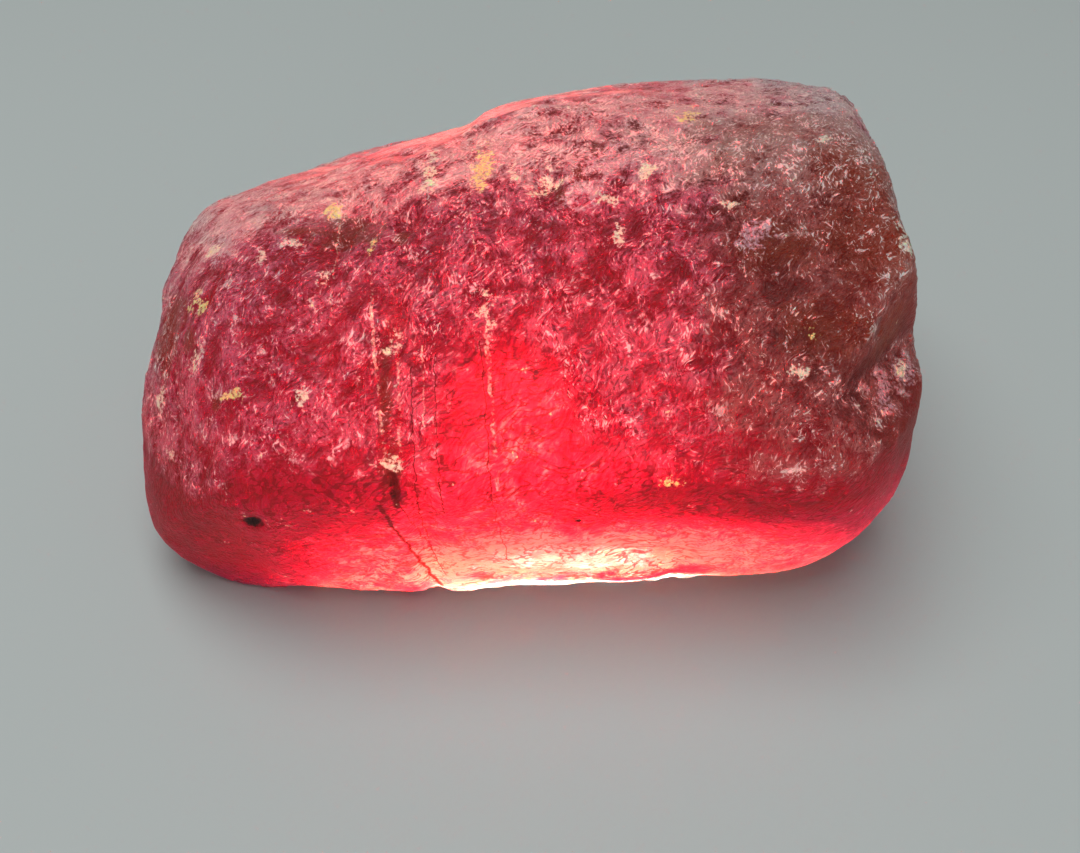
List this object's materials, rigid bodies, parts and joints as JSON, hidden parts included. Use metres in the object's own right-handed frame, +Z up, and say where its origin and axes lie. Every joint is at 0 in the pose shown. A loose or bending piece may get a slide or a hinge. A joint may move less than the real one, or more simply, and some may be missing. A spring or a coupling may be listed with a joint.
{
  "type": "raw ruby crystal",
  "caption": "Rough, waterworn ruby crystal: a rounded block with a broad sloping face, a broken notch at one end and a flat base it rests on.",
  "frame": {"origin": "on the flat base, under the middle of the crystal's bounding box", "axes": "+X along the crystal's length towards the notched end, +Y to the back, away from the broad sloping face, +Z up from the surface it rests on"},
  "size_m": [0.036, 0.0289, 0.018],
  "materials": {
    "ruby": "deep red, translucent, frosted and pitted by wear"
  },
  "bodies": {
    "root": {"ruby_crystal": "ruby"}
  },
  "joints": []
}
